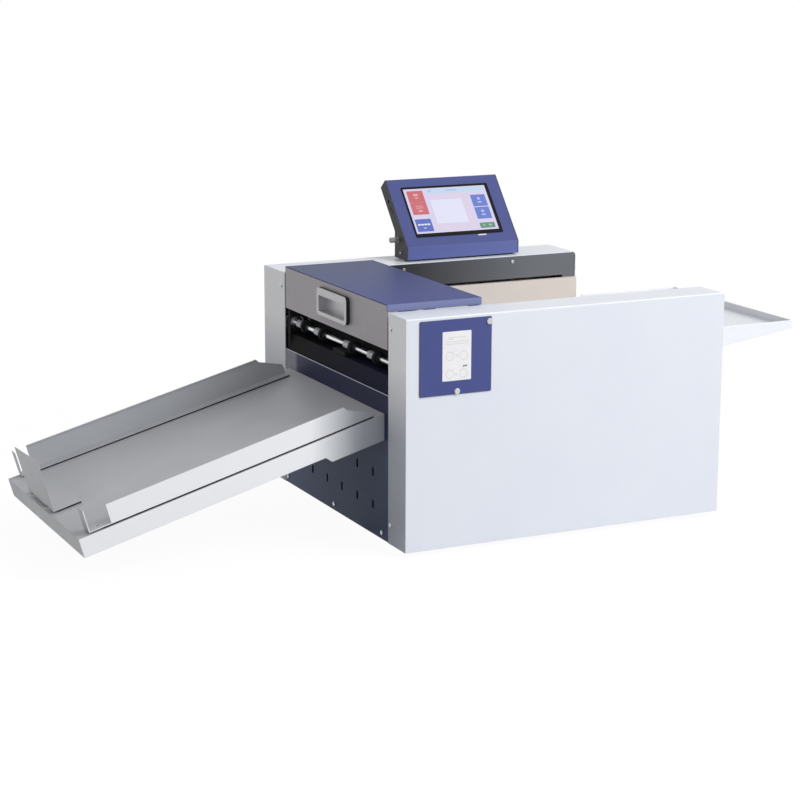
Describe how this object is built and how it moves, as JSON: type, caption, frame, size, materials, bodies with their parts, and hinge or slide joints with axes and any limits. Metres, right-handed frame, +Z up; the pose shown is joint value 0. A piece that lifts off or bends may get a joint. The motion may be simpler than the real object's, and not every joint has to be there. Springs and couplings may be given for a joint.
{
  "type": "creasing and perforating machine",
  "caption": "Desk-top creasing and perforating machine: inclined feed tray with side guides, lift-up hood over a powered blade and rollers, rear catch tray, leaning touch console.",
  "frame": {"origin": "centre of the whole machine's bounding box, on the ground under the feet", "axes": "+X along the paper path from feed tray to catch tray, +Z up, the operator stands on the -Y side"},
  "size_m": [1.2126, 0.5668, 0.4803],
  "materials": {
    "cover_white": "smooth satin enamel on folded sheet steel",
    "navy_paint": "fine matt textured enamel",
    "blue_paint": "satin enamel",
    "hammered_grey": "hammered grey enamel",
    "beige_paint": "satin enamel on steel plate",
    "dark_grey_paint": "matt textured enamel",
    "tray_paint": "smooth satin enamel",
    "deck_steel": "plain cold-rolled sheet",
    "satin_metal": "satin die casting",
    "bright_steel": "polished steel",
    "machined_steel": "turned and ground",
    "grey_roller": "ground rubber",
    "black_rubber": "matt",
    "hub_plastic": "moulded acetal",
    "gear_plastic": "moulded nylon",
    "bronze": "machined bearing bronze",
    "cork_pad": "cork-filled friction rubber",
    "black_plastic": "fine grain",
    "motor_black": "laminated steel, lacquered",
    "board_green": "solder mask",
    "white_plate": "smooth film",
    "screen_glass": "lit touch screen"
  },
  "bodies": {
    "root": {"base_plate": "deck_steel", "rubber_feet": "black_rubber", "near_side_frame": "beige_paint", "far_side_frame": "beige_paint", "tie_bars": "machined_steel", "near_cover": "cover_white", "far_cover": "cover_white", "inner_panels": "dark_grey_paint", "front_panel": "navy_paint", "infeed_ramp": "navy_paint", "paper_guides": "black_plastic", "rear_panel": "dark_grey_paint", "delivery_deck": "deck_steel", "exit_tray": "tray_paint", "access_panel": "blue_paint", "instruction_plate": "white_plate", "body_screws": "bright_steel", "feed_tray": "tray_paint", "tray_brackets": "deck_steel", "separator_pad": "cork_pad", "anvil_bar": "machined_steel", "blade_guides": "bronze", "shaft_bearings": "bright_steel", "hood_hinge_pins": "machined_steel", "stepper_motors": "motor_black", "drive_belts": "black_rubber", "power_supply": "deck_steel", "control_board": "board_green", "mains_inlet": "black_plastic", "switch_housing": "black_plastic", "console_bracket": "deck_steel"},
    "hood": {"hood_top": "blue_paint", "hood_front": "hammered_grey", "hood_handle": "satin_metal"},
    "feed_roller": {"feed_shaft": "bright_steel", "feed_hubs": "hub_plastic", "feed_wheels": "black_rubber"},
    "feed_rotor": {"feed_motor_pulley": "satin_metal"},
    "lower_infeed": {"lower_infeed_roller": "grey_roller", "lower_infeed_gear": "gear_plastic"},
    "upper_infeed": {"upper_infeed_roller": "machined_steel"},
    "lower_outfeed": {"lower_outfeed_roller": "grey_roller", "lower_outfeed_gear": "gear_plastic"},
    "perforator": {"perforating_shaft": "machined_steel", "perforating_wheels": "bright_steel"},
    "transport_rotor": {"transport_motor_pulley": "satin_metal"},
    "camshaft": {"cam_shaft": "machined_steel"},
    "crease_rotor": {"cam_motor_pulley": "satin_metal"},
    "blade": {"blade_beam": "machined_steel", "creasing_blade": "bright_steel"},
    "console": {"console_front": "blue_paint", "console_housing": "dark_grey_paint", "display_frame": "black_plastic", "display_glass": "screen_glass", "console_screws": "bright_steel"},
    "thumbscrew": {"tilt_thumbscrew": "bright_steel"},
    "near_stop": {"near_guide": "tray_paint"},
    "far_stop": {"far_guide": "tray_paint"},
    "tail": {"tail_stop": "tray_paint"},
    "rocker": {"power_rocker": "black_plastic"}
  },
  "joints": [
    {"name": "hood_hinge", "type": "hinge", "parent": "root", "child": "hood", "pos_m": [0.02226, -0.02623, 0.343], "axis": [0, 1, 0], "range_deg": [0, 80]},
    {"name": "feed_shaft_turn", "type": "hinge", "parent": "root", "child": "feed_roller", "pos_m": [-0.10474, -0.02623, 0.273], "axis": [0, 1, 0], "continuous": true},
    {"name": "feed_motor_turn", "type": "hinge", "parent": "root", "child": "feed_rotor", "pos_m": [-0.08774, -0.02623, 0.118], "axis": [0, 1, 0], "continuous": true},
    {"name": "lower_outfeed_turn", "type": "hinge", "parent": "root", "child": "lower_outfeed", "pos_m": [0.00226, -0.02623, 0.246], "axis": [0, 1, 0], "continuous": true},
    {"name": "perforator_turn", "type": "hinge", "parent": "root", "child": "perforator", "pos_m": [0.00226, -0.02623, 0.2703], "axis": [0, 1, 0], "continuous": true},
    {"name": "lower_infeed_turn", "type": "hinge", "parent": "root", "child": "lower_infeed", "pos_m": [-0.06974, -0.02623, 0.246], "axis": [0, 1, 0], "continuous": true},
    {"name": "upper_infeed_turn", "type": "hinge", "parent": "root", "child": "upper_infeed", "pos_m": [-0.06974, -0.02623, 0.2703], "axis": [0, 1, 0], "continuous": true},
    {"name": "transport_motor_turn", "type": "hinge", "parent": "root", "child": "transport_rotor", "pos_m": [0.00226, -0.02623, 0.118], "axis": [0, 1, 0], "continuous": true},
    {"name": "camshaft_turn", "type": "hinge", "parent": "root", "child": "camshaft", "pos_m": [-0.03374, -0.02623, 0.33], "axis": [0, 1, 0], "range_deg": [0, 180.02]},
    {"name": "crease_motor_turn", "type": "hinge", "parent": "root", "child": "crease_rotor", "pos_m": [-0.03374, -0.02623, 0.19], "axis": [0, 1, 0], "range_deg": [0, 255.5]},
    {"name": "blade_stroke", "type": "slide", "parent": "root", "child": "blade", "axis": [0, 0, -1], "range_m": [0, 0.009]},
    {"name": "console_tilt", "type": "hinge", "parent": "root", "child": "console", "pos_m": [0.10276, 0.20286, 0.3665], "axis": [1, 0, 0], "range_deg": [-5, 5]},
    {"name": "thumbscrew_turn", "type": "hinge", "parent": "root", "child": "thumbscrew", "pos_m": [0.10276, 0.21386, 0.387], "axis": [1, 0, 0], "range_deg": [-270, 0]},
    {"name": "near_guide_slide", "type": "slide", "parent": "root", "child": "near_stop", "axis": [0, 1, 0], "range_m": [-0.002, 0.1]},
    {"name": "far_guide_slide", "type": "slide", "parent": "root", "child": "far_stop", "axis": [0, -1, 0], "range_m": [0, 0.054]},
    {"name": "tail_stop_slide", "type": "slide", "parent": "root", "child": "tail", "axis": [0.9622, 0, 0.2723], "range_m": [0, 0.28]},
    {"name": "rocker_tip", "type": "hinge", "parent": "root", "child": "rocker", "pos_m": [0.41226, 0.05527, 0.068], "axis": [0, 1, 0], "range_deg": [0, 14]}
  ],
  "couplings": [
    {"joint": "feed_motor_turn", "follows": "feed_shaft_turn", "ratio": 1},
    {"joint": "lower_infeed_turn", "follows": "lower_outfeed_turn", "ratio": 1},
    {"joint": "upper_infeed_turn", "follows": "lower_outfeed_turn", "ratio": -1},
    {"joint": "perforator_turn", "follows": "lower_outfeed_turn", "ratio": -1},
    {"joint": "transport_motor_turn", "follows": "lower_outfeed_turn", "ratio": 1},
    {"joint": "camshaft_turn", "follows": "blade_stroke", "rad_per_m": 349.06},
    {"joint": "crease_motor_turn", "follows": "blade_stroke", "rad_per_m": 494.51}
  ]
}
